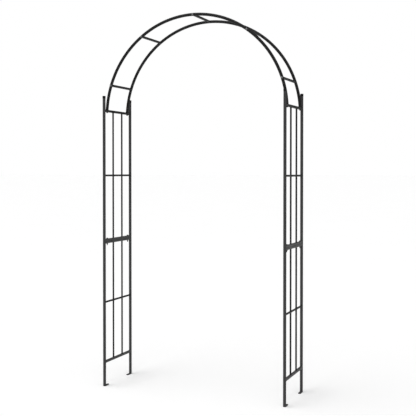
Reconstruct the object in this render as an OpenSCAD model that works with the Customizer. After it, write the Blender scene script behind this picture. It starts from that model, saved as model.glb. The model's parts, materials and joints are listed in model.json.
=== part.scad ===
// Garden trellis arch. Two ladder-like side panels stand on flat foot plates. Each panel is bolted
// together from a lower and an upper half, and two round hoops with crossbars join the panels.
// The origin is on the ground in the middle of the arch. X runs across the path, Y runs along it
// and Z is up. Front is the -Y side and left is the -X side.

/* [Overall] */
// Height of the whole arch, ground to the top of the hoops
total_h = 2401; // [2350:1:2500]
// Distance between the left and right post centres
span = 1232; // [1000:2:1300]
// Distance between the front and rear post centres
depth = 356; // [320:2:460]
// Height of the posts with their caps
post_h = 1900; // [1860:5:1960]

/* [Side panels] */
// Outside diameter of the post tubes
post_d = 19; // [18:0.5:22]
// Wall of the post and rail tubes
post_wall = 1.2; // [1:0.1:1.5]
// Side of the square rail tubes
rail_w = 15; // [13:0.5:16]
// Outer corner radius of the square tubes
rail_round = 2; // [2:0.25:3]
// Outside diameter of the upright rods
rod_d = 11; // [9:0.5:11]
// Outside diameter of the rungs
rung_d = 12.5; // [11.5:0.5:13]
// Wall of the rods, rungs and crossbars
thin_wall = 1; // [0.8:0.1:1.5]
// Number of upright rods between the two posts of a panel
rod_count = 2; // [2]
// Height of the bottom rail's centre
bottom_rail_z = 158; // [100:2:250]
// Height at which the lower and upper halves of a panel meet
joint_z = 950; // [850:5:1050]
// Height of the top rail's centre
top_rail_z = 1804; // [1780:2:1830]

/* [Hoops] */
// Outside diameter of the hoop tubes
hoop_d = 19; // [17:0.5:20]
// Wall of the hoop tubes
hoop_wall = 1; // [0.8:0.1:1.5]
// Distance from a post's centre to the hoop that stands beside it on the top rail
hoop_inset = 40.5; // [34:0.5:60]
// Outside diameter of the crossbars
bar_d = 16; // [14:0.5:16.5]
// Angle round the hoop from one crossbar to the next
bar_step = 35.75; // [34:0.25:36.5]
// Distance from the crown bar to the joint between the hoop halves
splice_shift = 14; // [12:1:20]
// Length of the sleeve inside that joint
sleeve_len = 90; // [70:5:120]
// Wall of the sleeve
sleeve_wall = 1.2; // [1:0.1:2]

/* [Feet and caps] */
// Distance from a post's centre to the tip of its foot plate
foot_reach = 50; // [40:1:70]
// Width of the foot plate
foot_w = 18; // [16:0.5:18]
// Thickness of the foot plate
foot_t = 4; // [3:0.5:5]
// Diameter of the ground peg hole in the foot plate
peg_hole_d = 7; // [6:0.5:9]
// Height of a post cap
cap_h = 16; // [12:1:20]
// Wall of a post cap
cap_wall = 1; // [0.8:0.1:1.5]
// Thickness of a post cap's top
cap_top = 2; // [1.5:0.1:3]

/* [Fasteners] */
// Thread diameter of all bolts and screws
thread_d = 6; // [6]
// Distance from a post's centre to the joint bolt beside it
joint_bolt_inset = 38; // [30:1:60]
// Length of a joint bolt under its head
joint_bolt_len = 45; // [40:1:55]
// Length of a hoop bolt under its head
hoop_bolt_len = 30; // [28:1:32]
// Length of a crossbar screw under its head
bar_screw_len = 30; // [26:1:32]

/* [Hidden] */
$fn = 64;
// Steps in a full turn of the wide hoop curve
hoop_steps = 360;
SIDES = ["left", "right"];
ENDS = ["front", "rear"];
PANELS = ["lower", "upper"];
LEVELS = ["bottom", "top"];
BARS = ["low_right", "high_right", "crown", "high_left", "low_left"];

coat = "#3b3c3d";
dark_coat = "#222223";
black_plastic = "#161616";
black_zinc = "#4a4a4b";

// How far a cutting shape runs past the face that it cuts
over = 1;
// Gap between a plugged-in piece and the tube around it
plug_gap = 0.1;
// Gap between a thread and its mate, both drawn plain
thread_gap = 0.05;
// Diameter of a clearance hole for a bolt
clear_d = thread_d + 0.4;

// Hexagon size and height of a bolt head, and height of a nut
hex_af = 10;
bolt_head_h = 4;
nut_h = 5;
washer_d = 12;
washer_t = 1.6;

// Button head of a crossbar screw, with its hexagon socket
button_d = 10.5;
button_h = 3.3;
socket_af = 4;
socket_deep = 2;

// Curved washer under that head: its top stands this far off the tube
saddle_d = 13;
saddle_h = 3.2;
saddle_rise = 1.2;

// Threaded ends inside the crossbars and the hoop feet
insert_len = 14;
insert_start = 0.5;
foot_plug_h = 16;

// A post cap is rounded off by this radius at its top
cap_round = 3;

// The hoop is an arc from one top rail to the other that rises to the full height
hoop_y = depth / 2 - hoop_inset;
hoop_foot_z = top_rail_z + rail_w / 2;
crown_z = total_h - hoop_d / 2;
hoop_rise = crown_z - hoop_foot_z;
hoop_r = (pow(span / 2, 2) + pow(hoop_rise, 2)) / (2 * hoop_rise);
hoop_z = crown_z - hoop_r;
foot_angle = asin((hoop_foot_z - hoop_z) / hoop_r);
splice_angle = 90 + splice_shift / hoop_r * 180 / PI;
// Angle of arc that is drawn below a hoop's foot before the foot is cut level
foot_spare = 2;

function side_x(side) = side == "left" ? -span / 2 : span / 2;
function end_sign(end) = end == "front" ? -1 : 1;
function end_y(end) = end_sign(end) * depth / 2;
function panel_low(panel) = panel == "lower" ? bottom_rail_z + rail_w / 2 : joint_z + rail_w;
function panel_high(panel) = panel == "lower" ? joint_z - rail_w : top_rail_z - rail_w / 2;
function panel_rung(panel) = (panel_low(panel) + panel_high(panel)) / 2;
function rod_y(end) = end_sign(end) * depth / (2 * (rod_count + 1));
function bar_angle(i) = 90 + (i - (len(BARS) - 1) / 2) * bar_step;

// ---- shapes that repeat ----

// Round tube that stands on its end
module round_tube(d, wall, h) {
    difference() {
        cylinder(d = d, h = h);
        translate([0, 0, -over]) cylinder(d = d - 2 * wall, h = h + 2 * over);
    }
}

// Turns a shape drawn along Z so that it lies along Y, centred
module along_y(length) {
    rotate([-90, 0, 0]) translate([0, 0, -length / 2]) children();
}

// Cylinder in the place of the two posts of a panel, to cut tube ends round them
module post_cutters() {
    for (e = ENDS) translate([0, end_y(e), -rail_w]) cylinder(d = post_d, h = 2 * rail_w);
}

// Vertical bolt holes through a rail, at a distance from each post's centre
module rail_holes(inset) {
    for (e = ENDS) translate([0, end_y(e) - end_sign(e) * inset, -rail_w])
        cylinder(d = clear_d, h = 2 * rail_w);
}

module rounded_square(w, r) {
    square([w, w - 2 * r], center = true);
    square([w - 2 * r, w], center = true);
    for (x = [-1, 1], y = [-1, 1]) translate([x, y] * (w / 2 - r)) circle(r = r);
}

// Square tube from post to post, its ends cut to fit round the posts
module rail_tube() {
    difference() {
        along_y(depth) linear_extrude(depth)
        difference() {
            rounded_square(rail_w, rail_round);
            rounded_square(rail_w - 2 * post_wall, rail_round - post_wall);
        }
        post_cutters();
    }
}

// Length of the hoop's curve with a round section, from angle a0 to angle a1 above +X
module hoop_arc(d, a0, a1) {
    translate([0, 0, hoop_z]) rotate([90, 0, 0]) rotate([0, 0, a0])
        rotate_extrude(angle = a1 - a0, $fn = hoop_steps)
        translate([hoop_r, 0]) circle(d = d, $fn = 64);
}

// Places a shape drawn along +Z under each of the four hoop feet
module at_hoop_feet() {
    for (s = SIDES, e = ENDS) translate([side_x(s), end_sign(e) * hoop_y, 0]) children();
}

// Places a shape drawn along +Z at each joint bolt
module at_joint_bolts() {
    for (s = SIDES, e = ENDS)
        translate([side_x(s), end_y(e) - end_sign(e) * joint_bolt_inset, 0]) children();
}

// Places a shape at every crossbar end, where its +Z points outwards, away from the crossbar
module at_bar_ends() {
    for (i = [0:len(BARS) - 1], e = ENDS) {
        a = bar_angle(i);
        translate([hoop_r * cos(a), end_sign(e) * hoop_y, hoop_z + hoop_r * sin(a)])
            rotate([-90 * end_sign(e), 0, 0]) children();
    }
}

module hexagon(af, h) {
    cylinder(d = af / cos(30), h = h, $fn = 6);
}

// Hexagon bolt with its head above z = 0 and its shank below
module hex_bolt(length) {
    union() {
        hexagon(hex_af, bolt_head_h);
        translate([0, 0, -length]) cylinder(d = thread_d - 2 * thread_gap, h = length + over);
    }
}

// ---- side panels ----

// Flat foot welded under a post, pointing at the other post of its panel, with a peg hole
module foot_plate(side, end) {
    color(coat)
    translate([side_x(side), end_y(end), 0])
    rotate([0, 0, -90 * end_sign(end)])
    difference() {
        union() {
            cylinder(d = post_d, h = foot_t);
            translate([0, -foot_w / 2, 0]) cube([foot_reach - foot_w / 2, foot_w, foot_t]);
            translate([foot_reach - foot_w / 2, 0, 0]) cylinder(d = foot_w, h = foot_t);
        }
        translate([foot_reach - foot_w / 2, 0, -over]) cylinder(d = peg_hole_d, h = foot_t + 2 * over);
    }
}

module lower_post(side, end) {
    color(coat)
    translate([side_x(side), end_y(end), foot_t])
    round_tube(post_d, post_wall, joint_z - foot_t);
}

// The upper post runs on above the top rail and ends inside its cap
module upper_post(side, end) {
    color(coat)
    translate([side_x(side), end_y(end), joint_z])
    round_tube(post_d, post_wall, post_h - cap_top - joint_z);
}

module bottom_rail(side) {
    color(coat) translate([side_x(side), 0, bottom_rail_z]) rail_tube();
}

// The two joint rails of a panel lie on each other and are bolted together
module joint_rail(panel, side) {
    lift = panel == "lower" ? -rail_w / 2 : rail_w / 2;
    color(coat)
    translate([side_x(side), 0, joint_z + lift])
    difference() {
        rail_tube();
        rail_holes(joint_bolt_inset);
    }
}

module top_rail(side) {
    color(dark_coat)
    translate([side_x(side), 0, top_rail_z])
    difference() {
        rail_tube();
        rail_holes(hoop_inset);
    }
}

module rung(panel, side) {
    color(dark_coat)
    translate([side_x(side), 0, panel_rung(panel)])
    difference() {
        along_y(depth) round_tube(rung_d, thin_wall, depth);
        post_cutters();
    }
}

// One length of upright rod between a rail and the rung, with its end cut to sit on the rung
module rod(panel, end, level, side) {
    from = level == "bottom" ? panel_low(panel) : panel_rung(panel);
    to = level == "bottom" ? panel_rung(panel) : panel_high(panel);
    color(dark_coat)
    difference() {
        translate([side_x(side), rod_y(end), from]) round_tube(rod_d, thin_wall, to - from);
        translate([side_x(side), rod_y(end), panel_rung(panel)])
            along_y(2 * rod_d) cylinder(d = rung_d, h = 2 * rod_d);
    }
}

// Plastic caps pushed over the post tops
module post_caps() {
    r = post_d / 2 + cap_wall;
    color(black_plastic)
    for (s = SIDES, e = ENDS)
        translate([side_x(s), end_y(e), post_h - cap_h])
        rotate_extrude()
        difference() {
            union() {
                square([r, cap_h - cap_round]);
                square([r - cap_round, cap_h]);
                translate([r - cap_round, cap_h - cap_round]) circle(r = cap_round);
            }
            square([post_d / 2 + thread_gap, cap_h - cap_top]);
            translate([-2 * r, 0]) square([2 * r, cap_h + over]);
        }
}

// ---- hoops and crossbars ----

// Half of a hoop: its foot is cut level to stand on the top rail, and it is drilled for the
// crossbar screws. The right half reaches just past the crown.
module hoop_half(end, side) {
    right = side == "right";
    a0 = right ? foot_angle - foot_spare : splice_angle;
    a1 = right ? splice_angle : 180 - foot_angle + foot_spare;
    color(dark_coat)
    translate([0, end_sign(end) * hoop_y, 0])
    difference() {
        hoop_arc(hoop_d, a0, a1);
        hoop_arc(hoop_d - 2 * hoop_wall, a0 - foot_spare, a1 + foot_spare);
        translate([side_x(side), 0, hoop_foot_z - 2 * hoop_d]) cube(4 * hoop_d, center = true);
        for (i = [0:len(BARS) - 1])
            if (bar_angle(i) > a0 && bar_angle(i) < a1)
                translate([hoop_r * cos(bar_angle(i)), 0, hoop_z + hoop_r * sin(bar_angle(i))])
                    along_y(2 * hoop_d) cylinder(d = clear_d, h = 2 * hoop_d);
    }
}

// Curved sleeve inside the joint of two hoop halves, pinned by the crown bar's screw
module hoop_sleeve(end) {
    d = hoop_d - 2 * hoop_wall - 2 * plug_gap;
    half = sleeve_len / 2 / hoop_r * 180 / PI;
    color(dark_coat)
    translate([0, end_sign(end) * hoop_y, 0])
    difference() {
        hoop_arc(d, splice_angle - half, splice_angle + half);
        hoop_arc(d - 2 * sleeve_wall, splice_angle - half - foot_spare, splice_angle + half + foot_spare);
        translate([0, 0, crown_z]) along_y(2 * hoop_d) cylinder(d = clear_d, h = 2 * hoop_d);
    }
}

// Bar between the hoops, its ends cut to fit round them
module crossbar(i) {
    a = bar_angle(i);
    color(dark_coat)
    difference() {
        translate([hoop_r * cos(a), 0, hoop_z + hoop_r * sin(a)])
            along_y(2 * hoop_y) round_tube(bar_d, thin_wall, 2 * hoop_y);
        for (e = ENDS) translate([0, end_sign(e) * hoop_y, 0])
            hoop_arc(hoop_d, a - foot_spare, a + foot_spare);
    }
}

// Threaded plugs fixed in the crossbar ends
module crossbar_inserts() {
    color(black_zinc)
    at_bar_ends()
    translate([0, 0, -hoop_d / 2 - insert_start - insert_len])
    difference() {
        cylinder(d = bar_d - 2 * thin_wall - 2 * plug_gap, h = insert_len);
        translate([0, 0, -over]) cylinder(d = thread_d, h = insert_len + 2 * over);
    }
}

module crossbar_screws() {
    color(black_zinc)
    at_bar_ends()
    translate([0, 0, hoop_d / 2 + saddle_rise])
    difference() {
        union() {
            cylinder(d = button_d, h = button_h);
            translate([0, 0, -bar_screw_len]) cylinder(d = thread_d - 2 * thread_gap, h = bar_screw_len + over);
        }
        translate([0, 0, button_h - socket_deep]) hexagon(socket_af, socket_deep + over);
    }
}

// Washers with a hollow underside that sit on the round hoop tube
module saddle_washers() {
    color(black_zinc)
    for (i = [0:len(BARS) - 1], e = ENDS) {
        a = bar_angle(i);
        translate([0, end_sign(e) * hoop_y, 0])
        difference() {
            translate([hoop_r * cos(a), 0, hoop_z + hoop_r * sin(a)])
                rotate([-90 * end_sign(e), 0, 0])
                translate([0, 0, hoop_d / 2 + saddle_rise - saddle_h])
                difference() {
                    cylinder(d = saddle_d, h = saddle_h);
                    translate([0, 0, -over]) cylinder(d = clear_d, h = saddle_h + 2 * over);
                }
            hoop_arc(hoop_d + 2 * thread_gap, a - foot_spare, a + foot_spare);
        }
    }
}

// Threaded plugs fixed in the hoop feet
module hoop_foot_plugs() {
    color(black_zinc)
    for (s = SIDES, e = ENDS)
        difference() {
            translate([0, end_sign(e) * hoop_y, 0])
            intersection() {
                hoop_arc(hoop_d - 2 * hoop_wall - 2 * plug_gap,
                    s == "right" ? foot_angle - foot_spare : 180 - foot_angle - 2 * foot_spare,
                    s == "right" ? foot_angle + 2 * foot_spare : 180 - foot_angle + foot_spare);
                translate([side_x(s) - hoop_d, -hoop_d, hoop_foot_z])
                    cube([2 * hoop_d, 2 * hoop_d, foot_plug_h]);
            }
            translate([side_x(s), end_sign(e) * hoop_y, hoop_foot_z - over])
                cylinder(d = thread_d, h = foot_plug_h + 2 * over);
        }
}

// ---- bolts, nuts and washers ----

// Bolts that go up through the top rail into the hoop feet
module hoop_bolts() {
    color(black_zinc)
    at_hoop_feet()
    translate([0, 0, top_rail_z - rail_w / 2 - washer_t])
    mirror([0, 0, 1])
    hex_bolt(hoop_bolt_len);
}

// Bolts that go down through the two joint rails
module joint_bolts() {
    color(black_zinc)
    at_joint_bolts()
    translate([0, 0, joint_z + rail_w + washer_t])
    hex_bolt(joint_bolt_len);
}

module joint_nuts() {
    color(black_zinc)
    at_joint_bolts()
    translate([0, 0, joint_z - rail_w - nut_h])
    difference() {
        hexagon(hex_af, nut_h);
        translate([0, 0, -over]) cylinder(d = thread_d, h = nut_h + 2 * over);
    }
}

// One washer under the head of each joint bolt and of each hoop bolt
module washers() {
    color(black_zinc) {
        at_joint_bolts() translate([0, 0, joint_z + rail_w]) washer();
        at_hoop_feet() translate([0, 0, top_rail_z - rail_w / 2 - washer_t]) washer();
    }
}

module washer() {
    difference() {
        cylinder(d = washer_d, h = washer_t);
        translate([0, 0, -over]) cylinder(d = clear_d, h = washer_t + 2 * over);
    }
}

// ---- the nodes ----

for (s = SIDES, e = ENDS) {
    foot_plate(s, e);
    lower_post(s, e);
    upper_post(s, e);
    hoop_half(e, s);
}
for (s = SIDES) {
    bottom_rail(s);
    top_rail(s);
}
for (p = PANELS, s = SIDES) {
    joint_rail(p, s);
    rung(p, s);
}
for (p = PANELS, s = SIDES, e = ENDS, l = LEVELS) {
    rod(p, e, l, s);
}
for (e = ENDS) {
    hoop_sleeve(e);
}
for (i = [0:len(BARS) - 1]) {
    crossbar(i);
}
post_caps();
joint_bolts();
joint_nuts();
washers();
hoop_bolts();
hoop_foot_plugs();
crossbar_screws();
crossbar_inserts();
saddle_washers();
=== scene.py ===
"""Finish of a garden trellis arch: coats its tubes and adds welds, fasteners, caps and feet."""

import json
import math

import bmesh
import bpy
from bpy.props import FloatProperty, FloatVectorProperty, IntProperty, PointerProperty
from mathutils import Matrix, Vector


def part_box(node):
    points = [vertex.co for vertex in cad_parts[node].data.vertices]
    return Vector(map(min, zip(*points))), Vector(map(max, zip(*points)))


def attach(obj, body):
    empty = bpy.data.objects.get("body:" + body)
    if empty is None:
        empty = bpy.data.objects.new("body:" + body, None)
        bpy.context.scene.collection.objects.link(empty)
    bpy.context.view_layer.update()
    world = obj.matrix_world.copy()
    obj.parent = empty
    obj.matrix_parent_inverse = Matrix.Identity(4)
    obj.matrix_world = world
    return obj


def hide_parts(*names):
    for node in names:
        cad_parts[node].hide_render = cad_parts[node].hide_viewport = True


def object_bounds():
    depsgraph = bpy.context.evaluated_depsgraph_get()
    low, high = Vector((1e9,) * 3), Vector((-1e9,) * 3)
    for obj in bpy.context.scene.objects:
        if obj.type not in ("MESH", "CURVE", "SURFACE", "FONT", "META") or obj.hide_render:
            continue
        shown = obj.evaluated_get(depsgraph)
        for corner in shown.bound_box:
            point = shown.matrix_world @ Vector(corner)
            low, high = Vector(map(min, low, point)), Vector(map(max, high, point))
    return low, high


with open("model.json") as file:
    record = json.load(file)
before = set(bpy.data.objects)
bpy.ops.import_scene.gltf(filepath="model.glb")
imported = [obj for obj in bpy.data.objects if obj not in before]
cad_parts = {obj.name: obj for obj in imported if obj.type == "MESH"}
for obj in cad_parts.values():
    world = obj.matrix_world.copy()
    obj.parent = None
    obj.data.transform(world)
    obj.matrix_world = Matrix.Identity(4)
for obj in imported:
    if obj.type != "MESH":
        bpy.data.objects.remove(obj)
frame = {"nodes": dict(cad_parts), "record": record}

bl_info = {
    "name": "Garden Trellis Arch",
    "version": (1, 0, 0),
    "blender": (4, 5, 0),
    "location": "View3D > Sidebar > Trellis Arch",
    "description": "Coats, welds and fastens a garden trellis arch, and sets a pale stage",
    "category": "Object",
}

CAD_LOW, CAD_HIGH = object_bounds()
MM = 0.001
MICRON = 1e-6
SIDES = ("left", "right")
ENDS = ("front", "rear")
PANELS = ("lower", "upper")
LEVELS = ("bottom", "top")
BODY = "root"
FULL_TURN = 2 * math.pi
QUARTER_TURN = math.pi / 2
SIXTH_TURN = math.pi / 3

STEEL_SLOT = "powder_coated_steel"
DARK_SLOT = "dark_coated_steel"
PLASTIC_SLOT = "black_plastic"
ZINC_SLOT = "black_zinc_steel"

FRAME_COAT = "frame_powder_coat"
BAR_COAT = "bar_powder_coat"
BOLT_PLATE = "black_zinc_plate"
# The zinc plate of the crossbar screws and saddle washers is paler than the bolts' plate. Part of
# that is a brighter plate, and part is a painted highlight on heads that face the light.
SCREW_PLATE_AND_HIGHLIGHT = "zinc_plate_with_painted_highlight"
CAP_PLASTIC = "moulded_cap_plastic"

# The angle in degrees from which an edge between two faces looks sharp.
WELD_SHARP = 80.0
PLATE_SHARP = 50.0
CAP_SHARP = 40.0
METAL_SHARP = 28.0


# ---- what the frame says ----

def node_centre(name):
    """The middle of a CAD node's box."""
    low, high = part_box(name)
    return (low + high) / 2


def node_size(name):
    """The edge lengths of a CAD node's box."""
    low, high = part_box(name)
    return high - low


def solid_boxes(name):
    """The lowest and highest corner of each separate solid of a CAD node.

    Corners are compared in whole microns, so that faces which touch count as joined.
    """
    mesh = frame["nodes"][name].data
    spots = [tuple(round(c / MICRON) for c in vertex.co) for vertex in mesh.vertices]
    leader = {spot: spot for spot in spots}

    def find(spot):
        while leader[spot] != spot:
            leader[spot] = leader[leader[spot]]
            spot = leader[spot]
        return spot

    for face in mesh.polygons:
        first = find(spots[face.vertices[0]])
        for corner in face.vertices[1:]:
            leader[find(spots[corner])] = first
    solids = {}
    for spot in leader:
        solids.setdefault(find(spot), []).append(spot)
    boxes = []
    for group in solids.values():
        low = Vector([min(spot[i] for spot in group) for i in range(3)]) * MICRON
        high = Vector([max(spot[i] for spot in group) for i in range(3)]) * MICRON
        boxes.append((low, high))
    return sorted(boxes, key=lambda box: tuple(box[0]))


def inward_sign(y):
    """The way along Y to the arch's middle: 1 from the front, -1 from the rear."""
    return -1 if y > 0 else 1


# ---- shapes ----

def circle_angles(steps):
    """Evenly spaced angles of a full turn."""
    return [FULL_TURN * i / steps for i in range(steps)]


def ring(radius, height, steps=48):
    """A closed row of points round Z. radius and height are numbers or functions of the angle."""
    points = []
    for angle in circle_angles(steps):
        r = radius(angle) if callable(radius) else radius
        h = height(angle) if callable(height) else height
        points.append(Vector((r * math.cos(angle), r * math.sin(angle), h)))
    return points


def loft(bm, rings, place=None, loop=False):
    """Joins rows of equal length with quads. The ends are closed, or meet each other in a loop."""
    place = place or Matrix()
    rows = [[bm.verts.new(place @ point) for point in points] for points in rings]
    pairs = list(zip(rows, rows[1:]))
    if loop:
        pairs.append((rows[-1], rows[0]))
    count = len(rows[0])
    for lower, upper in pairs:
        for i in range(count):
            j = (i + 1) % count
            bm.faces.new((lower[i], lower[j], upper[j], upper[i]))
    if not loop:
        bm.faces.new(rows[0][::-1])
        bm.faces.new(rows[-1])


def hexagon_radius(across_flats):
    """The radius of a hexagon as a function of the angle, with a corner at angle 0."""
    return lambda angle: across_flats / 2 / math.cos((angle % SIXTH_TURN) - SIXTH_TURN / 2)


def rounded_edge(edge, steps=4):
    """(inset, height) pairs over a rounded edge, from a face to the side that it meets."""
    quarter = [QUARTER_TURN * i / steps for i in range(steps + 1)]
    return [(edge * (1 - math.sin(a)), edge * (1 - math.cos(a))) for a in quarter]


def edge_profile(thickness, edge):
    """(inset, height) pairs from a plate's underside to its top, with both edges rounded."""
    lower = rounded_edge(edge)
    return lower + [(inset, thickness - height) for inset, height in reversed(lower)]


def make_piece(name, bm, material, sharp_degrees):
    """Turns the built mesh into a piece that rides on the arch's one body."""
    bmesh.ops.recalc_face_normals(bm, faces=bm.faces)
    mesh = bpy.data.meshes.new(name)
    bm.to_mesh(mesh)
    bm.free()
    mesh.shade_smooth()
    mesh.set_sharp_from_angle(angle=math.radians(sharp_degrees))
    mesh.materials.append(material)
    piece = bpy.data.objects.new(name, mesh)
    bpy.context.scene.collection.objects.link(piece)
    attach(piece, BODY)
    return piece


# ---- welds ----

FEWEST_RIPPLES = 2
BEAD_END = 0.1            # the part of a bead's section that is left at an open end
MATING_GAP = 1.2          # bead radii from a rail's mating face to the bead's end


def bead(bm, path, centre, closed, welds):
    """A weld bead along a path round a tube's centre. Its round section swells at each ripple."""
    count = len(path)
    lengths = [0.0]
    for a, b in zip(path, path[1:]):
        lengths.append(lengths[-1] + (b - a).length)
    total = lengths[-1] + ((path[0] - path[-1]).length if closed else 0.0)
    ripples = max(FEWEST_RIPPLES, round(total / welds.ripple))
    rings = []
    for i, point in enumerate(path):
        before = path[i - 1] if closed or i > 0 else point
        after = path[(i + 1) % count] if closed or i < count - 1 else point
        along = (after - before).normalized()
        out = point - centre
        out = (out - along * out.dot(along)).normalized()
        across = along.cross(out)
        swell = math.sin(FULL_TURN * ripples * lengths[i] / total)
        radius = welds.bead * (1 + welds.ripple_depth * swell)
        if not closed:
            from_end = min(lengths[i], total - lengths[i]) / welds.bead
            radius *= math.sqrt(min(1.0, BEAD_END + from_end))
        rings.append([
            point + (out * math.cos(angle) + across * math.sin(angle)) * radius
            for angle in circle_angles(welds.bead_sides)
        ])
    loft(bm, rings, loop=closed)


def rounded_square_path(width, corner, steps_per_side=12, steps_per_corner=5):
    """Points (across, up) round a square tube's section, from the middle of its top side."""
    half = width / 2
    flat = half - corner
    points = []
    for quarter in range(4):
        turn = Matrix.Rotation(-QUARTER_TURN * quarter, 2)
        for i in range(steps_per_side):
            points.append(turn @ Vector((-flat + 2 * flat * i / steps_per_side, half)))
        for i in range(steps_per_corner):
            angle = QUARTER_TURN * (1 - i / steps_per_corner)
            across, up = flat + corner * math.cos(angle), flat + corner * math.sin(angle)
            points.append(turn @ Vector((across, up)))
    return points


def weld_rail(bm, rail, post, open_side, welds):
    """The bead round a rail's end on a post, left open on the side where another rail lies.

    open_side is 1 for the top, -1 for the underside and 0 for a rail that lies alone.
    """
    centre = node_centre(rail)
    post_y = node_centre(post).y
    post_radius = node_size(post).x / 2
    inward = inward_sign(post_y)
    section = rounded_square_path(node_size(rail).x, welds.rail_corner)
    if open_side:
        margin = node_size(rail).z / 2 - welds.bead * MATING_GAP
        kept = [p.y * open_side < margin for p in section]
        count = len(section)
        first = next(i for i in range(count) if kept[i] and not kept[i - 1])
        order = [(first + i) % count for i in range(count)]
        section = [section[i] for i in order if kept[i]]
    path = []
    for p in section:
        reach = math.sqrt(post_radius ** 2 - p.x ** 2)
        path.append(Vector((centre.x + p.x, post_y + inward * reach, centre.z + p.y)))
    middle = Vector((centre.x, post_y + inward * post_radius, centre.z))
    bead(bm, path, middle, not open_side, welds)


def weld_rung(bm, rung, post, welds):
    """The bead round a rung's end on a post."""
    centre = node_centre(rung)
    radius = node_size(rung).x / 2
    post_y = node_centre(post).y
    post_radius = node_size(post).x / 2
    inward = inward_sign(post_y)
    path = []
    for angle in circle_angles(welds.bead_steps):
        across, up = radius * math.cos(angle), radius * math.sin(angle)
        reach = math.sqrt(post_radius ** 2 - across ** 2)
        path.append(Vector((centre.x + across, post_y + inward * reach, centre.z + up)))
    middle = Vector((centre.x, post_y + inward * post_radius, centre.z))
    bead(bm, path, middle, True, welds)


def weld_rod(bm, rod, level, rung, welds):
    """The two beads of a length of rod: a level one on the rail, a saddle shape on the rung."""
    low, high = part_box(rod)
    radius = (high.x - low.x) / 2
    middle = (low + high) / 2
    rung_radius = node_size(rung).x / 2
    rung_z = node_centre(rung).z
    toward_rung = 1 if level == "bottom" else -1
    rail_z = low.z if level == "bottom" else high.z
    on_rail, on_rung = [], []
    for angle in circle_angles(welds.bead_steps):
        x, y = radius * math.cos(angle), radius * math.sin(angle)
        on_rail.append(Vector((middle.x + x, middle.y + y, rail_z)))
        drop = math.sqrt(rung_radius ** 2 - x ** 2)
        on_rung.append(Vector((middle.x + x, middle.y + y, rung_z - toward_rung * drop)))
    rung_face = rung_z - toward_rung * rung_radius
    bead(bm, on_rail, Vector((middle.x, middle.y, rail_z)), True, welds)
    bead(bm, on_rung, Vector((middle.x, middle.y, rung_face)), True, welds)


def weld_foot(bm, post, end, welds):
    """The bead round the inner side of a post on its foot plate."""
    low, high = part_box(post)
    middle = (low + high) / 2
    radius = (high.x - low.x) / 2
    facing = -QUARTER_TURN if end == "rear" else QUARTER_TURN
    half = math.radians(welds.foot_weld_degrees) / 2
    path = []
    for i in range(welds.bead_steps):
        angle = facing + half * (2 * i / (welds.bead_steps - 1) - 1)
        x, y = radius * math.cos(angle), radius * math.sin(angle)
        path.append(Vector((middle.x + x, middle.y + y, low.z)))
    bead(bm, path, Vector((middle.x, middle.y, low.z)), False, welds)


# ---- finishes ----

MIX_COLOURS = (6, 7)      # the Mix node's sockets that take colours
MIX_RESULT = 2            # its socket that gives one
DUST_SLOPE = (0.2, 1.0)   # the upward slopes between which dust starts to lie and lies in full

# Scales are in features per metre, and tints are factors of a finish's own colour.
MOTTLE_SCALE, MOTTLE_DARK, MOTTLE_LIGHT = 18.0, 0.93, 1.07
GRAIN_SCALE, GRAIN_TINT, GRAIN_SHARE = 2600.0, 1.8, 0.3
GRAIN_BUMP, GRAIN_DEPTH = 0.15, 0.03 * MM
PEEL_DEPTH = 0.12 * MM
DUST_SCALE, DUST_LEAST = 55.0, 0.2
SMEAR_SCALE, SMEAR_ROUGHNESS = 30.0, 0.06
BLOOM_SCALE, BLOOM_TINT = 260.0, 1.7
PLATE_METAL, PLATE_ROUGHNESS = 0.9, (0.28, 0.48)
TURNING_SCALE, TURNING_BUMP, TURNING_DEPTH = 2200.0, 0.2, 0.04 * MM
SCUFF_SCALE, SCUFF_TINT, SCUFF_SHARE = 420.0, 2.6, 0.5
CAP_GLOSS, CAP_ROUGHNESS = 0.2, (0.5, 0.62)
SPARK_SCALE, SPARK_BUMP, SPARK_DEPTH = 3200.0, 0.3, 0.05 * MM
CLOUD_SCALE, CLOUD_TINT = 0.7, 0.985
FLOOR_GLOSS, FLOOR_ROUGHNESS = 0.1, 0.85


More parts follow.
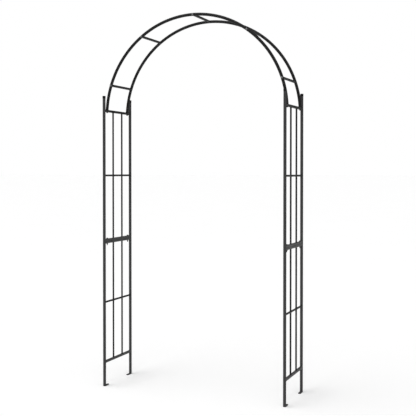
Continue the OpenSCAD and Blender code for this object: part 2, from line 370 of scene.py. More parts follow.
class Finish:
    """A Principled material that is built up layer by layer in the object's own coordinates."""

    def __init__(self, name):
        self.material = bpy.data.materials.new(name)
        self.material.use_nodes = True
        self.nodes = self.material.node_tree.nodes
        self.links = self.material.node_tree.links
        self.shader = self.nodes["Principled BSDF"]
        self.place = self.nodes.new("ShaderNodeTexCoord").outputs["Object"]

    def noise(self, scale, detail, roughness=0.5):
        """A noise pattern with features of about 1 / scale metres."""
        node = self.nodes.new("ShaderNodeTexNoise")
        node.inputs["Scale"].default_value = scale
        node.inputs["Detail"].default_value = detail
        node.inputs["Roughness"].default_value = roughness
        self.links.new(self.place, node.inputs["Vector"])
        return node.outputs["Fac"]

    def spread(self, value, band, to=(0.0, 1.0)):
        """Maps a band of a pattern's values onto another band, without going past its ends."""
        node = self.nodes.new("ShaderNodeMapRange")
        names = ("From Min", "From Max", "To Min", "To Max")
        for name, number in zip(names, (*band, *to)):
            node.inputs[name].default_value = number
        self.links.new(value, node.inputs["Value"])
        return node.outputs["Result"]

    def times(self, first, second):
        """The product of two patterns."""
        node = self.nodes.new("ShaderNodeMath")
        node.operation = "MULTIPLY"
        self.links.new(first, node.inputs[0])
        self.links.new(second, node.inputs[1])
        return node.outputs["Value"]

    def mix(self, amount, first, second):
        """A colour between two others. Each of them is a colour or a socket."""
        node = self.nodes.new("ShaderNodeMix")
        node.data_type = "RGBA"
        self.links.new(amount, node.inputs["Factor"])
        for number, colour in zip(MIX_COLOURS, (first, second)):
            socket = node.inputs[number]
            if isinstance(colour, bpy.types.NodeSocket):
                self.links.new(colour, socket)
            else:
                socket.default_value = (*colour, 1.0)
        return node.outputs[MIX_RESULT]

    def upward(self):
        """1 where the surface faces the sky, 0 where it is upright or faces down."""
        geometry = self.nodes.new("ShaderNodeNewGeometry")
        split = self.nodes.new("ShaderNodeSeparateXYZ")
        self.links.new(geometry.outputs["Normal"], split.inputs["Vector"])
        return self.spread(split.outputs["Z"], DUST_SLOPE)

    def bump(self, layers):
        """Chains bumps. Each layer is (height pattern, strength, depth in metres)."""
        normal = None
        for height, strength, depth in layers:
            node = self.nodes.new("ShaderNodeBump")
            node.inputs["Strength"].default_value = strength
            node.inputs["Distance"].default_value = depth
            self.links.new(height, node.inputs["Height"])
            if normal:
                self.links.new(normal, node.inputs["Normal"])
            normal = node.outputs["Normal"]
        self.links.new(normal, self.shader.inputs["Normal"])

    def colour(self, socket):
        """Joins a pattern of colour to the shader."""
        self.links.new(socket, self.shader.inputs["Base Color"])

    def rough(self, socket):
        """Joins a pattern of roughness to the shader."""
        self.links.new(socket, self.shader.inputs["Roughness"])


def shade(colour, factor):
    """The colour made lighter or darker."""
    return [channel * factor for channel in colour]


def powder_coat(name, colour, gloss, coat):
    """Semi-matt powder coat: orange peel, a fine grain, faint mottling, and dust on top faces."""
    finish = Finish(name)
    mottle = finish.spread(finish.noise(MOTTLE_SCALE, detail=3.0), band=(0.3, 0.7))
    base = finish.mix(mottle, shade(colour, MOTTLE_DARK), shade(colour, MOTTLE_LIGHT))
    grain = finish.noise(GRAIN_SCALE, detail=1.0)
    specks = finish.spread(grain, band=(0.6, 0.8), to=(0.0, GRAIN_SHARE))
    base = finish.mix(specks, base, shade(colour, GRAIN_TINT))
    patches = finish.noise(DUST_SCALE, detail=4.0)
    patches = finish.spread(patches, band=(0.4, 0.7), to=(DUST_LEAST, 1.0))
    dust = finish.times(finish.upward(), patches)
    dust = finish.spread(dust, band=(0.0, 1.0), to=(0.0, coat.dust))
    finish.colour(finish.mix(dust, base, coat.dust_colour))
    smear = finish.noise(SMEAR_SCALE, detail=3.0)
    roughness = (coat.roughness - SMEAR_ROUGHNESS, coat.roughness + SMEAR_ROUGHNESS)
    finish.rough(finish.spread(smear, band=(0.25, 0.75), to=roughness))
    finish.shader.inputs["Specular IOR Level"].default_value = gloss
    peel = finish.noise(1.0 / coat.peel, detail=1.5)
    finish.bump([(peel, coat.peel_strength, PEEL_DEPTH), (grain, GRAIN_BUMP, GRAIN_DEPTH)])
    return finish.material


def zinc_plate(name, colour):
    """Zinc plate: smooth metal with fine turning marks and a paler, duller bloom in patches."""
    finish = Finish(name)
    bloom = finish.spread(finish.noise(BLOOM_SCALE, detail=4.0), band=(0.35, 0.7))
    finish.colour(finish.mix(bloom, colour, shade(colour, BLOOM_TINT)))
    finish.rough(finish.spread(bloom, band=(0.0, 1.0), to=PLATE_ROUGHNESS))
    finish.shader.inputs["Metallic"].default_value = PLATE_METAL
    finish.bump([(finish.noise(TURNING_SCALE, detail=2.0), TURNING_BUMP, TURNING_DEPTH)])
    return finish.material


def cap_plastic(coat):
    """Moulded black plastic with a fine spark-eroded grain and faint scuffs."""
    finish = Finish(CAP_PLASTIC)
    scuffs = finish.noise(SCUFF_SCALE, detail=5.0, roughness=0.7)
    scuffs = finish.spread(scuffs, band=(0.6, 0.75), to=(0.0, SCUFF_SHARE))
    colour = coat.plastic_colour
    finish.colour(finish.mix(scuffs, colour, shade(colour, SCUFF_TINT)))
    finish.rough(finish.spread(scuffs, band=(0.0, SCUFF_SHARE), to=CAP_ROUGHNESS))
    finish.shader.inputs["Specular IOR Level"].default_value = CAP_GLOSS
    finish.bump([(finish.noise(SPARK_SCALE, detail=2.0), SPARK_BUMP, SPARK_DEPTH)])
    return finish.material


def floor_paint(stage):
    """Smooth pale floor with a hardly visible tone variation."""
    finish = Finish("pale_floor")
    colour = stage.floor_colour
    cloud = finish.noise(CLOUD_SCALE, detail=3.0)
    finish.colour(finish.mix(cloud, shade(colour, CLOUD_TINT), colour))
    finish.shader.inputs["Roughness"].default_value = FLOOR_ROUGHNESS
    finish.shader.inputs["Specular IOR Level"].default_value = FLOOR_GLOSS
    return finish.material


# ---- settings ----

class TrellisCoatSettings(bpy.types.PropertyGroup):
    """Colours and texture of the coats."""

    frame_colour: FloatVectorProperty(
        name="Frame colour", description="Powder coat of the posts, feet, bottom and joint rails",
        subtype="COLOR", size=3, min=0.0, max=1.0, default=(0.034, 0.0342, 0.0345))
    bar_colour: FloatVectorProperty(
        name="Bar colour",
        description="Powder coat of the rods, rungs, hoops, crossbars and top rails",
        subtype="COLOR", size=3, min=0.0, max=1.0, default=(0.0045, 0.0046, 0.0047))
    bolt_colour: FloatVectorProperty(
        name="Bolt colour", description="Black zinc plate of the bolts, nuts and flat washers",
        subtype="COLOR", size=3, min=0.0, max=1.0, default=(0.035, 0.035, 0.036))
    # Zinc plate of the crossbar screws and saddle washers. It is made paler than the bolts' plate,
    # partly as a brighter zinc and partly as a painted highlight on heads that face the light.
    screw_colour_and_highlight: FloatVectorProperty(
        name="Screw colour",
        description="Brighter zinc plate of the crossbar screws and saddle washers",
        subtype="COLOR", size=3, min=0.0, max=1.0, default=(0.16, 0.16, 0.163))
    plastic_colour: FloatVectorProperty(
        name="Cap colour", description="Plastic of the post caps",
        subtype="COLOR", size=3, min=0.0, max=1.0, default=(0.003, 0.003, 0.003))
    dust_colour: FloatVectorProperty(
        name="Dust colour", description="Pale dust that settles on top faces",
        subtype="COLOR", size=3, min=0.0, max=1.0, default=(0.22, 0.21, 0.20))
    dust: FloatProperty(
        name="Dust", description="How much dust lies on top faces", subtype="FACTOR",
        min=0.0, max=1.0, default=0.06)
    roughness: FloatProperty(
        name="Roughness", description="Roughness of the powder coat", subtype="FACTOR",
        min=0.1, max=0.9, default=0.50)
    frame_gloss: FloatProperty(
        name="Frame gloss", description="Strength of the frame coat's reflection",
        subtype="FACTOR", min=0.0, max=1.0, default=0.25)
    bar_gloss: FloatProperty(
        name="Bar gloss", description="Strength of the bar coat's reflection", subtype="FACTOR",
        min=0.0, max=1.0, default=0.20)
    peel: FloatProperty(
        name="Orange peel", description="Spacing of the powder coat's orange peel",
        subtype="DISTANCE", min=0.0005, max=0.005, precision=4, default=1.6 * MM)
    peel_strength: FloatProperty(
        name="Orange peel strength", description="Strength of the orange peel", subtype="FACTOR",
        min=0.0, max=1.0, default=0.70)


class TrellisWeldSettings(bpy.types.PropertyGroup):
    """Sizes of the weld beads."""

    bead: FloatProperty(
        name="Bead radius", description="Radius of a weld bead",
        subtype="DISTANCE", min=0.0005, max=0.004, precision=4, default=1.5 * MM)
    ripple: FloatProperty(
        name="Ripple", description="Distance from one ripple of a bead to the next",
        subtype="DISTANCE", min=0.001, max=0.006, precision=4, default=2.2 * MM)
    ripple_depth: FloatProperty(
        name="Ripple depth", description="How far a bead swells with each ripple",
        subtype="FACTOR", min=0.0, max=0.4, default=0.10)
    bead_sides: IntProperty(
        name="Bead sides", description="Faces round a bead's section", min=6, max=16, default=8)
    bead_steps: IntProperty(
        name="Bead steps", description="Sections along a bead round a rod",
        min=24, max=120, default=60)
    rail_corner: FloatProperty(
        name="Rail corner", description="Corner radius of the square rails",
        subtype="DISTANCE", min=0.0, max=0.004, precision=4, default=2.0 * MM)
    foot_weld_degrees: FloatProperty(
        name="Foot weld", description="Part of a turn that a foot's weld covers, in degrees",
        min=60.0, max=180.0, default=118.0)


class TrellisFastenerSettings(bpy.types.PropertyGroup):
    """Details of the bolts, nuts, screws and washers."""

    shank: FloatProperty(
        name="Shank", description="Radius of a bolt's shank over its thread",
        subtype="DISTANCE", min=0.002, max=0.003, precision=5, default=2.95 * MM)
    pitch: FloatProperty(
        name="Thread pitch", description="Distance from one turn of the thread to the next",
        subtype="DISTANCE", min=0.0005, max=0.002, precision=4, default=1.0 * MM)
    thread_depth: FloatProperty(
        name="Thread depth", description="Depth of the thread",
        subtype="DISTANCE", min=0.0001, max=0.001, precision=4, default=0.5 * MM)
    across_flats: FloatProperty(
        name="Spanner size", description="Width across the flats of hexagon heads and nuts",
        subtype="DISTANCE", min=0.008, max=0.011, precision=4, default=10.0 * MM)
    chamfer: FloatProperty(
        name="Chamfer", description="Slope of the chamfer on hexagon heads and nuts",
        subtype="ANGLE", min=0.2, max=0.8, default=math.radians(30.0))
    nut_bore: FloatProperty(
        name="Nut bore", description="Radius of a nut's bore",
        subtype="DISTANCE", min=0.003, max=0.0032, precision=5, default=3.0 * MM)
    washer_bore: FloatProperty(
        name="Washer bore", description="Radius of a washer's hole",
        subtype="DISTANCE", min=0.003, max=0.004, precision=5, default=3.2 * MM)
    washer_edge: FloatProperty(
        name="Washer edge", description="Edge radius of a washer",
        subtype="DISTANCE", min=0.0001, max=0.0008, precision=5, default=0.35 * MM)
    saddle_gap: FloatProperty(
        name="Saddle gap", description="Gap between a saddle washer and the tube that it sits on",
        subtype="DISTANCE", min=0.0, max=0.0003, precision=5, default=0.05 * MM)
    socket: FloatProperty(
        name="Socket", description="Width across the flats of a button head's socket",
        subtype="DISTANCE", min=0.002, max=0.005, precision=4, default=4.0 * MM)
    socket_depth: FloatProperty(
        name="Socket depth", description="Depth of a button head's socket",
        subtype="DISTANCE", min=0.001, max=0.003, precision=4, default=2.0 * MM)


class TrellisFittingSettings(bpy.types.PropertyGroup):
    """Details of the post caps and the foot plates."""

    cap_wall: FloatProperty(
        name="Cap wall", description="Wall of a post cap",
        subtype="DISTANCE", min=0.0005, max=0.002, precision=4, default=0.95 * MM)
    cap_top: FloatProperty(
        name="Cap top", description="Thickness of a post cap's top",
        subtype="DISTANCE", min=0.001, max=0.003, precision=4, default=2.0 * MM)
    cap_round: FloatProperty(
        name="Cap rounding", description="Radius of a post cap's upper edge",
        subtype="DISTANCE", min=0.001, max=0.005, precision=4, default=3.0 * MM)
    cap_lip: FloatProperty(
        name="Cap lip", description="How far the shaft of a cap stands back from its lower lip",
        subtype="DISTANCE", min=0.0, max=0.0006, precision=4, default=0.35 * MM)
    plate_edge: FloatProperty(
        name="Plate edge", description="Edge radius of a foot plate",
        subtype="DISTANCE", min=0.0001, max=0.0015, precision=4, default=0.8 * MM)
    peg_hole: FloatProperty(
        name="Peg hole", description="Diameter of the ground peg hole",
        subtype="DISTANCE", min=0.004, max=0.010, precision=4, default=7.0 * MM)


class TrellisStageSettings(bpy.types.PropertyGroup):
    """Floor, lights and camera."""

    floor_colour: FloatVectorProperty(
        name="Floor colour", description="Colour of the pale floor",
        subtype="COLOR", size=3, min=0.0, max=1.0, default=(0.985, 0.985, 0.985))
    floor_size: FloatProperty(
        name="Floor size", description="Side of the square floor",
        subtype="DISTANCE", min=10.0, max=1000.0, default=600.0)
    room_colour: FloatVectorProperty(
        name="Room colour", description="Colour of the plain room round the arch",
        subtype="COLOR", size=3, min=0.0, max=1.0, default=(1.0, 1.0, 1.0))
    room_light: FloatProperty(
        name="Room light", description="How strongly the room lights the arch",
        min=0.0, max=2.0, default=0.28)
    key_strength: FloatProperty(
        name="Key light", description="Strength of the light from above",
        min=0.0, max=10.0, default=2.6)
    key_softness: FloatProperty(
        name="Key softness", description="How wide the light from above looks",
        subtype="ANGLE", min=0.0, max=math.pi, default=math.radians(70.0))
    key_direction: FloatVectorProperty(
        name="Key direction", description="Direction in which the light from above stands",
        subtype="XYZ", size=3, default=(-0.35, -0.45, 1.0))
    fill_strength: FloatProperty(
        name="Fill light", description="Strength of the light from the right",
        min=0.0, max=10.0, default=0.5)
    fill_softness: FloatProperty(
        name="Fill softness", description="How wide the light from the right looks",
        subtype="ANGLE", min=0.0, max=math.pi, default=math.radians(50.0))
    fill_direction: FloatVectorProperty(
        name="Fill direction", description="Direction in which the light from the right stands",
        subtype="XYZ", size=3, default=(0.9, -0.5, 0.35))
    camera_place: FloatVectorProperty(
        name="Camera place", description="Where the camera stands",
        subtype="TRANSLATION", size=3, default=(2.0739, -4.8370, 1.4038))
    camera_turn: FloatProperty(
        name="Camera turn", description="How far the camera is turned to the left",
        subtype="ANGLE", default=math.radians(22.757))
    camera_tilt: FloatProperty(
        name="Camera tilt", description="How far the camera looks down",
        subtype="ANGLE", default=math.radians(0.924))
    lens: FloatProperty(
        name="Lens", description="Focal length in millimetres on a 36 mm sensor",
        min=20.0, max=200.0, default=70.66)
    shift: FloatProperty(
        name="Lens shift", description="Vertical shift that keeps the posts upright",
        min=-0.3, max=0.3, default=-0.055)


SETTINGS = {
    "trellis_coat": TrellisCoatSettings,
    "trellis_welds": TrellisWeldSettings,
    "trellis_fasteners": TrellisFastenerSettings,
    "trellis_fittings": TrellisFittingSettings,
    "trellis_stage": TrellisStageSettings,
}


def finish_named(name):
    """The finish of that name, made by the coats' operator."""
    material = bpy.data.materials.get(name)
    if material is None:
        raise RuntimeError("run the coats first: there is no finish named " + name)
    return material


# ---- operators ----

TOE_TAPER = 0.5 * MM      # how much narrower a foot plate's toe is than its heel, each side
CAP_PIP = 0.4 * MM        # the radius of the small flat in the middle of a cap's top and ceiling
CAP_CHAMFER = 0.3 * MM
CAP_LIP_HEIGHT = 2.2 * MM
CAP_CROWN = 0.5 * MM      # how far a cap's top rises from its rounded edge to its middle
CAP_DOME = 0.35           # the part of a cap's radius that is nearly as high as its middle,
CAP_DOME_DROP = 0.1 * MM  # and how much lower it is


class TRELLIS_OT_coats(bpy.types.Operator):
    """Make the finishes and give every part of the arch its own"""

    bl_idname = "trellis.coats"
    bl_label = "Coats"

    def execute(self, context):
        coat = context.scene.trellis_coat
        finishes = {
            STEEL_SLOT: powder_coat(FRAME_COAT, coat.frame_colour, coat.frame_gloss, coat),
            DARK_SLOT: powder_coat(BAR_COAT, coat.bar_colour, coat.bar_gloss, coat),
            ZINC_SLOT: zinc_plate(BOLT_PLATE, coat.bolt_colour),
            PLASTIC_SLOT: cap_plastic(coat),
        }
        # The screws' zinc is paler than the bolts': partly a brighter plate, partly a painted
        # highlight.
        zinc_plate(SCREW_PLATE_AND_HIGHLIGHT, coat.screw_colour_and_highlight)
        for part in frame["record"]["subparts"]:
            places = frame["nodes"][part["node"]].material_slots
            if not places:
                raise RuntimeError("no place for a finish on " + part["node"])
            for place in places:
                place.material = finishes[part["material_slot"]]
        return {"FINISHED"}


class TRELLIS_OT_frame_welds(bpy.types.Operator):
    """Weld the rails to the posts, and the posts to their feet"""

    bl_idname = "trellis.frame_welds"
    bl_label = "Frame welds"

    def execute(self, context):
        welds = context.scene.trellis_welds
        coat = finish_named(FRAME_COAT)
        for panel in PANELS:
            outer_rail = "bottom_rail" if panel == "lower" else "top_rail"
            mating_face = 1 if panel == "lower" else -1
            for side in SIDES:
                bm = bmesh.new()
                for end in ENDS:
                    post = f"{panel}_post_{end}_{side}"
                    weld_rail(bm, f"{outer_rail}_{side}", post, 0, welds)
                    weld_rail(bm, f"{panel}_joint_rail_{side}", post, mating_face, welds)
                    if panel == "lower":
                        weld_foot(bm, post, end, welds)
                make_piece(f"{panel}_frame_welds_{side}", bm, coat, WELD_SHARP)
        return {"FINISHED"}


class TRELLIS_OT_rod_welds(bpy.types.Operator):
    """Weld the rungs to the posts, and the rods to the rails and rungs"""

    bl_idname = "trellis.rod_welds"
    bl_label = "Rod welds"

    def execute(self, context):
        welds = context.scene.trellis_welds
        coat = finish_named(BAR_COAT)
        for panel in PANELS:
            for side in SIDES:
                bm = bmesh.new()
                rung = f"{panel}_rung_{side}"
                for end in ENDS:
                    weld_rung(bm, rung, f"{panel}_post_{end}_{side}", welds)
                    for level in LEVELS:
                        weld_rod(bm, f"{panel}_rod_{end}_{level}_{side}", level, rung, welds)
                make_piece(f"{panel}_rod_welds_{side}", bm, coat, WELD_SHARP)
        return {"FINISHED"}


class TRELLIS_OT_foot_plates(bpy.types.Operator):
    """Form the foot plates with rounded edges and a ground peg hole"""

    bl_idname = "trellis.foot_plates"
    bl_label = "Foot plates"

    def execute(self, context):
        fittings = context.scene.trellis_fittings
        coat = finish_named(FRAME_COAT)
        for side in SIDES:
            for end in ENDS:
                name = f"foot_plate_{end}_{side}"
                bm = bmesh.new()
                self.form(bm, name, f"lower_post_{end}_{side}", fittings)
                plate = make_piece(f"formed_{name}", bm, coat, PLATE_SHARP)
                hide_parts(name)
        return {"FINISHED"}

    def form(self, bm, node, post, fittings, steps=72):
        """Lofts the plate from its hole, out underneath, round its outline and back on top."""
        low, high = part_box(node)
        middle = node_centre(post)
        heel = node_size(post).x / 2
        toe = (high.x - low.x) / 2 - TOE_TAPER
        reach = max(abs(high.y - middle.y), abs(low.y - middle.y)) - toe
        turn = Matrix.Rotation(QUARTER_TURN * inward_sign(middle.y), 4, "Z")
        place = Matrix.Translation((middle.x, middle.y, 0.0)) @ turn

        def outline(inset, height):
            """The plate's edge: a round toe, straight sides and a round heel."""
            points = []
            for angle in circle_angles(steps):
                radius, centre = (toe, reach) if math.cos(angle) >= 0 else (heel, 0.0)
                radius -= inset
                x, y = centre + radius * math.cos(angle), radius * math.sin(angle)
                points.append(Vector((x, y, height)))
            return points

        def hole(height):
            """The rim of the ground peg hole, in the middle of the toe."""
            rim = ring(fittings.peg_hole / 2, height, steps)
            return [point + Vector((reach, 0.0, 0.0)) for point in rim]

        profile = edge_profile(high.z, fittings.plate_edge)
        edge = [outline(inset, height) for inset, height in profile]
        loft(bm, [hole(0.0)] + edge + [hole(high.z)], place, loop=True)


class TRELLIS_OT_post_caps(bpy.types.Operator):
    """Mould the post caps: a rounded top, a shaft and a lower lip"""

    bl_idname = "trellis.post_caps"
    bl_label = "Post caps"

    def execute(self, context):
        fittings = context.scene.trellis_fittings
        bm = bmesh.new()
        for low, high in solid_boxes("post_caps"):
            middle = (low + high) / 2
            place = Matrix.Translation((middle.x, middle.y, low.z))
            self.mould(bm, place, (high.x - low.x) / 2, high.z - low.z, fittings)
        plastic = finish_named(CAP_PLASTIC)
        caps = make_piece("moulded_post_caps", bm, plastic, CAP_SHARP)
        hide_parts("post_caps")
        return {"FINISHED"}

    def mould(self, bm, place, radius, height, fittings, corner_steps=8):
        """Lofts a cap down its bore, over its lip and shaft, and over its top to the middle."""
        bore = radius - fittings.cap_wall
        shaft = radius - fittings.cap_lip
        ceiling = height - fittings.cap_top
        corner = fittings.cap_round
        outline = [
            (CAP_PIP, ceiling),
            (bore, ceiling),
            (bore, CAP_CHAMFER),
            (bore + CAP_CHAMFER, 0.0),
            (radius - CAP_CHAMFER, 0.0),
            (radius, CAP_CHAMFER),
            (radius, CAP_LIP_HEIGHT),
            (shaft, CAP_LIP_HEIGHT + fittings.cap_lip),
        ]
        for i in range(corner_steps + 1):
            angle = QUARTER_TURN * i / corner_steps
            inset, drop = corner * (1 - math.cos(angle)), corner * (1 - math.sin(angle))
            outline.append((shaft - inset, height - CAP_CROWN - drop))
        outline.append((radius * CAP_DOME, height - CAP_DOME_DROP))
        outline.append((CAP_PIP, height))
        loft(bm, [ring(r, z) for r, z in outline], place)


# ---- bolts, nuts, screws and washers ----

THREAD_STEPS = 8          # rings to each turn of a thread
SHANK_TIP = 0.6 * MM      # the length of the taper at a shank's tip
TIP_TAPER = 1.3           # thread depths that the taper takes off the radius
HEAD_FACE = 0.96          # a hexagon's flat face, as a part of its width across the flats
DISH_RIM, DISH_FLOOR = 0.36, 0.32  # radii of a head's dish, as parts of the same width
DISH_DEPTH = 0.35 * MM
FASTENER_TURN = 2.4       # radians from one fastener to the next, so that no two look alike
SCREW_RIM = 0.5 * MM      # the height of a button head's upright rim
SCREW_FLAT = 0.56         # the part of a button head's radius that is flat on top
SCREW_EDGE = 0.15 * MM
SOCKET_CHAMFER = 0.25 * MM


def thread_radius(crest, depth, pitch, height):
    """The radius of a right-hand thread as a function of the angle, at one height."""
    def radius(angle):
        turn = (height / pitch - angle / FULL_TURN) % 1.0
        return crest - depth * abs(2 * turn - 1)
    return radius


def shank(length, threaded, fasteners):
    """Rings of a shank from its tip, at -length, up to the head. It is threaded from the tip."""
    crest = fasteners.shank
    start = SHANK_TIP - length
    rings = [ring(crest - TIP_TAPER * fasteners.thread_depth, -length)]
    step = fasteners.pitch / THREAD_STEPS
    count = round(threaded / step)
    for i in range(count + 1):
        depth = fasteners.thread_depth * min(1.0, (count - i) / THREAD_STEPS)
        height = start + i * step
        rings.append(ring(thread_radius(crest, depth, fasteners.pitch, height), height))
    rings.append(ring(crest, 0.0))
    return rings


def hexagon_rings(across_flats, height, slope):
    """Rings of a hexagon from z = 0 up, with its corners chamfered off round its top."""
    radius = hexagon_radius(across_flats)
    flat = across_flats / 2 * HEAD_FACE
    return [
        ring(radius, 0.0),
        ring(radius, lambda angle: height - (radius(angle) - flat) * math.tan(slope)),
        ring(flat, height),
    ]


def hexagon_bolt(bm, place, head_height, length, threaded, fasteners):
    """A hexagon bolt with its head above z = 0 and a shallow dish in the head's top."""
    flats = fasteners.across_flats
    head = hexagon_rings(flats, head_height, fasteners.chamfer)
    dish = [
        ring(flats * DISH_RIM, head_height),
        ring(flats * DISH_FLOOR, head_height - DISH_DEPTH),
    ]
    loft(bm, shank(length, threaded, fasteners) + head + dish, place)


def nearest_box(boxes, point):
    """The box whose middle is nearest to a point."""
    return min(boxes, key=lambda box: ((box[0] + box[1]) / 2 - point).length)


def turned_by(number):
    """A turn about Z that differs from one fastener to the next."""
    return Matrix.Rotation(FASTENER_TURN * number, 4, "Z")


class TRELLIS_OT_joint_bolts(bpy.types.Operator):
    """Make the bolts that go down through the joint rails, with a thread below each nut"""

    bl_idname = "trellis.joint_bolts"
    bl_label = "Joint bolts"

    def execute(self, context):
        fasteners = context.scene.trellis_fasteners
        nuts = solid_boxes("joint_nuts")
        washers = solid_boxes("washers")
        bm = bmesh.new()
        for number, (low, high) in enumerate(solid_boxes("joint_bolts")):
            x, y = (low.x + high.x) / 2, (low.y + high.y) / 2
            seat = nearest_box(washers, Vector((x, y, high.z)))[1].z
            nut_top = nearest_box(nuts, Vector((x, y, low.z)))[1].z
            place = Matrix.Translation((x, y, seat)) @ turned_by(number)
            hexagon_bolt(bm, place, high.z - seat, seat - low.z, nut_top - low.z, fasteners)
        plate = finish_named(BOLT_PLATE)
        bolts = make_piece("threaded_joint_bolts", bm, plate, METAL_SHARP)
        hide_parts("joint_bolts")
        return {"FINISHED"}


class TRELLIS_OT_joint_nuts(bpy.types.Operator):
    """Make the nuts of the joint bolts, chamfered on both faces"""

    bl_idname = "trellis.joint_nuts"
    bl_label = "Joint nuts"

    def execute(self, context):
        fasteners = context.scene.trellis_fasteners
        bore = fasteners.nut_bore
        lead = fasteners.thread_depth
        bm = bmesh.new()
        for number, (low, high) in enumerate(solid_boxes("joint_nuts")):
            height = high.z - low.z
            upper = hexagon_rings(fasteners.across_flats, height / 2, fasteners.chamfer)[1:]
            lower = [[Vector((p.x, p.y, -p.z)) for p in row] for row in reversed(upper)]
            hole = [ring(bore + lead, height / 2), ring(bore, height / 2 - lead)]
            hole += [ring(bore, lead - height / 2), ring(bore + lead, -height / 2)]
            place = Matrix.Translation((low + high) / 2) @ turned_by(number + 2)
            loft(bm, lower + upper + hole, place, loop=True)
        plate = finish_named(BOLT_PLATE)
        nuts = make_piece("chamfered_joint_nuts", bm, plate, METAL_SHARP)
        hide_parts("joint_nuts")
        return {"FINISHED"}


class TRELLIS_OT_hoop_bolts(bpy.types.Operator):
    """Make the bolts that go up through the top rails into the hoop feet"""

    bl_idname = "trellis.hoop_bolts"
    bl_label = "Hoop bolts"

    def execute(self, context):
        fasteners = context.scene.trellis_fasteners
        washers = solid_boxes("washers")
        bm = bmesh.new()
        for number, (low, high) in enumerate(solid_boxes("hoop_bolts")):
            x, y = (low.x + high.x) / 2, (low.y + high.y) / 2
            seat = nearest_box(washers, Vector((x, y, low.z)))[0].z
            upside_down = Matrix.Rotation(math.pi, 4, "X")
            place = Matrix.Translation((x, y, seat)) @ upside_down @ turned_by(number + 1)
            hexagon_bolt(bm, place, seat - low.z, high.z - seat, fasteners.pitch, fasteners)
        plate = finish_named(BOLT_PLATE)
        bolts = make_piece("upright_hoop_bolts", bm, plate, METAL_SHARP)
        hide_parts("hoop_bolts")
        return {"FINISHED"}


class TRELLIS_OT_washers(bpy.types.Operator):
    """Press the flat washers of the joint bolts and hoop bolts"""

    bl_idname = "trellis.washers"
    bl_label = "Flat washers"

    def execute(self, context):
        fasteners = context.scene.trellis_fasteners
        bore = fasteners.washer_bore
        bm = bmesh.new()
        for low, high in solid_boxes("washers"):
            radius = (high.x - low.x) / 2
            thickness = high.z - low.z
            profile = edge_profile(thickness, fasteners.washer_edge)
            rings = [ring(radius - inset, height) for inset, height in profile]
            place = Matrix.Translation(((low.x + high.x) / 2, (low.y + high.y) / 2, low.z))
            loft(bm, [ring(bore, 0.0)] + rings + [ring(bore, thickness)], place, loop=True)
        plate = finish_named(BOLT_PLATE)
        washers = make_piece("pressed_washers", bm, plate, METAL_SHARP)
        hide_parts("washers")
        return {"FINISHED"}


def outward_place(low, high, seat):
    """The place of a shape drawn along +Z: z = 0 at the seat, and +Z away from the crossbar."""
    outward = -inward_sign(low.y + high.y)
    spot = Vector(((low.x + high.x) / 2, outward * seat, (low.z + high.z) / 2))
    return Matrix.Translation(spot) @ Matrix.Rotation(-outward * QUARTER_TURN, 4, "X")


class TRELLIS_OT_crossbar_screws(bpy.types.Operator):
    """Make the button-head screws of the crossbars, each with a hexagon socket"""

    bl_idname = "trellis.crossbar_screws"
    bl_label = "Crossbar screws"

    def execute(self, context):
        fasteners = context.scene.trellis_fasteners
        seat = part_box("saddle_washers")[1].y
        head_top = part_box("crossbar_screws")[1].y
        bm = bmesh.new()
        for number, (low, high) in enumerate(solid_boxes("crossbar_screws")):
            length = (high.y - low.y) - (head_top - seat)
            place = outward_place(low, high, seat) @ turned_by(number)
            radius = (high.x - low.x) / 2
            self.turn_and_broach(bm, place, radius, head_top - seat, length, fasteners)
        plate = finish_named(SCREW_PLATE_AND_HIGHLIGHT)
        screws = make_piece("button_crossbar_screws", bm, plate, METAL_SHARP)
        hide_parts("crossbar_screws")
        return {"FINISHED"}

    def turn_and_broach(self, bm, place, radius, height, length, fasteners, dome_steps=7):
        """One screw: the shank, a low rim, a domed head with a flat top, and the socket."""
        flat = radius * SCREW_FLAT
        dome = height - SCREW_RIM
        rings = shank(length, 0.0, fasteners)
        rings.append(ring(radius - SCREW_EDGE, 0.0))
        for i in range(dome_steps + 1):
            angle = QUARTER_TURN * i / dome_steps
            reach = flat + (radius - flat) * math.cos(angle)
            rings.append(ring(reach, SCREW_RIM + dome * math.sin(angle)))
        socket = hexagon_radius(fasteners.socket)
        mouth = socket(0.0) + SCREW_EDGE
        rings.append(ring(mouth, height))
        rings.append(ring(socket, height - SOCKET_CHAMFER))
        rings.append(ring(socket, height - fasteners.socket_depth))
        loft(bm, rings, place)


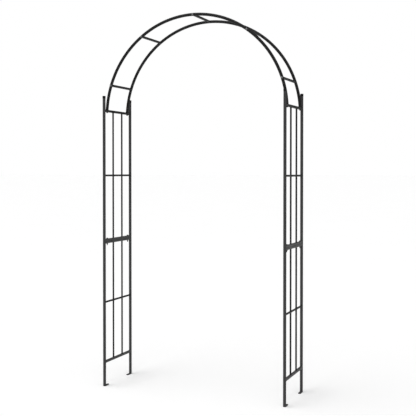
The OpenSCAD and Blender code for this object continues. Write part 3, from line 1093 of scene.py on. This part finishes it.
class TRELLIS_OT_saddle_washers(bpy.types.Operator):
    """Press the washers that fit the round of the hoops under the crossbar screws"""

    bl_idname = "trellis.saddle_washers"
    bl_label = "Saddle washers"

    def execute(self, context):
        fasteners = context.scene.trellis_fasteners
        crown, low_bar = node_centre("crossbar_crown"), node_centre("crossbar_low_right")
        hoop_z = (crown.z ** 2 - low_bar.z ** 2 - low_bar.x ** 2) / (2 * (crown.z - low_bar.z))
        tube = node_size("hoop_front_left").y / 2
        hoop_y = node_centre("hoop_rear_left").y
        bm = bmesh.new()
        for low, high in solid_boxes("saddle_washers"):
            place = outward_place(low, high, hoop_y)
            spot = place.to_translation()
            tangent = Vector((hoop_z - spot.z, 0.0, spot.x)).normalized()
            tangent = place.to_3x3().inverted() @ tangent
            along = math.atan2(tangent.y, tangent.x)
            radius = (high.x - low.x) / 2
            skirt = min(abs(low.y), abs(high.y)) - hoop_y
            top = skirt + high.y - low.y
            self.press(bm, place, radius, skirt, top, tube, along, fasteners)
        plate = finish_named(SCREW_PLATE_AND_HIGHLIGHT)
        washers = make_piece("curved_saddle_washers", bm, plate, METAL_SHARP)
        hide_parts("saddle_washers")
        return {"FINISHED"}

    def press(self, bm, place, radius, skirt, top, tube, along, fasteners, steps=6):
        """One washer: flat on top, and hollowed underneath to fit a tube that runs at an angle."""
        fit = tube + fasteners.saddle_gap

        def underside(r):
            """The height of the hollow at a distance from the middle, for each angle."""
            def height(angle):
                return max(skirt, math.sqrt(fit ** 2 - (r * math.sin(angle - along)) ** 2))
            return height

        bore = fasteners.washer_bore
        rings = []
        for i in range(steps + 1):
            r = bore + (radius - bore) * i / steps
            rings.append(ring(r, underside(r)))
        for inset, drop in reversed(rounded_edge(fasteners.washer_edge)):
            rings.append(ring(radius - inset, top - drop))
        rings.append(ring(bore, top))
        loft(bm, rings, place, loop=True)


# ---- stage ----

FLOOR_GAP = 0.2 * MM      # from the feet down to the floor
FAR_CLIP = 1000.0


class TRELLIS_OT_stage(bpy.types.Operator):
    """Set the pale floor, the soft light and the camera"""

    bl_idname = "trellis.stage"
    bl_label = "Stage"

    def execute(self, context):
        stage = context.scene.trellis_stage
        self.lay_floor(stage)
        self.light_room(context.scene, stage)
        self.place_sun("key_light", stage.key_strength, stage.key_softness, stage.key_direction)
        self.place_sun("fill_light", stage.fill_strength, stage.fill_softness,
                       stage.fill_direction)
        camera = bpy.data.objects.new("camera", bpy.data.cameras.new("camera"))
        context.scene.collection.objects.link(camera)
        camera.location = stage.camera_place
        camera.rotation_euler = (QUARTER_TURN - stage.camera_tilt, 0.0, stage.camera_turn)
        camera.data.lens = stage.lens
        camera.data.shift_y = stage.shift
        camera.data.clip_end = FAR_CLIP
        context.scene.camera = camera
        context.scene.view_settings.view_transform = "Standard"
        context.scene.view_settings.look = "None"
        return {"FINISHED"}

    def lay_floor(self, stage):
        """A wide square just under the feet."""
        half = stage.floor_size / 2
        height = CAD_LOW.z - FLOOR_GAP
        mesh = bpy.data.meshes.new("floor")
        corners = [(x * half, y * half, height) for x, y in ((-1, -1), (1, -1), (1, 1), (-1, 1))]
        mesh.from_pydata(corners, [], [(0, 1, 2, 3)])
        mesh.materials.append(floor_paint(stage))
        floor = bpy.data.objects.new("floor", mesh)
        bpy.context.scene.collection.objects.link(floor)

    def light_room(self, scene, stage):
        """An even pale room that lights the arch more softly than it looks."""
        world = bpy.data.worlds.new("pale_room")
        world.use_nodes = True
        nodes, links = world.node_tree.nodes, world.node_tree.links
        background = nodes["Background"]
        background.inputs["Color"].default_value = (*stage.room_colour, 1.0)
        path = nodes.new("ShaderNodeLightPath")
        strength = nodes.new("ShaderNodeMapRange")
        strength.inputs["To Min"].default_value = stage.room_light
        strength.inputs["To Max"].default_value = 1.0
        links.new(path.outputs["Is Camera Ray"], strength.inputs["Value"])
        links.new(strength.outputs["Result"], background.inputs["Strength"])
        scene.world = world

    def place_sun(self, name, strength, softness, direction):
        """A light from one direction, as wide as a large diffuser."""
        light = bpy.data.lights.new(name, "SUN")
        light.energy = strength
        light.angle = softness
        sun = bpy.data.objects.new(name, light)
        bpy.context.scene.collection.objects.link(sun)
        sun.rotation_euler = Vector(direction).to_track_quat("Z", "Y").to_euler()


# ---- the add-on ----

STEPS = (
    TRELLIS_OT_coats,
    TRELLIS_OT_frame_welds,
    TRELLIS_OT_rod_welds,
    TRELLIS_OT_foot_plates,
    TRELLIS_OT_post_caps,
    TRELLIS_OT_joint_bolts,
    TRELLIS_OT_joint_nuts,
    TRELLIS_OT_hoop_bolts,
    TRELLIS_OT_washers,
    TRELLIS_OT_crossbar_screws,
    TRELLIS_OT_saddle_washers,
    TRELLIS_OT_stage,
)


class TRELLIS_PT_sidebar(bpy.types.Panel):
    """Lists the steps of the arch's finish, and their settings"""

    bl_idname = "TRELLIS_PT_sidebar"
    bl_label = "Trellis Arch"
    bl_space_type = "VIEW_3D"
    bl_region_type = "UI"
    bl_category = "Trellis Arch"

    def draw(self, context):
        steps = self.layout.column(align=True)
        for step in STEPS:
            steps.operator(step.bl_idname)
        for key in SETTINGS:
            settings = getattr(context.scene, key)
            box = self.layout.box().column()
            for name in settings.__annotations__:
                box.prop(settings, name)


def register():
    for kind in (*SETTINGS.values(), *STEPS, TRELLIS_PT_sidebar):
        bpy.utils.register_class(kind)
    for key, kind in SETTINGS.items():
        setattr(bpy.types.Scene, key, PointerProperty(type=kind))


def unregister():
    for key in SETTINGS:
        delattr(bpy.types.Scene, key)
    for kind in reversed((*SETTINGS.values(), *STEPS, TRELLIS_PT_sidebar)):
        bpy.utils.unregister_class(kind)


def main():
    register()
    bpy.ops.trellis.coats()
    bpy.ops.trellis.frame_welds()
    bpy.ops.trellis.rod_welds()
    bpy.ops.trellis.foot_plates()
    bpy.ops.trellis.post_caps()
    bpy.ops.trellis.joint_bolts()
    bpy.ops.trellis.joint_nuts()
    bpy.ops.trellis.hoop_bolts()
    bpy.ops.trellis.washers()
    bpy.ops.trellis.crossbar_screws()
    bpy.ops.trellis.saddle_washers()
    bpy.ops.trellis.stage()


if __name__ == "__main__":
    main()
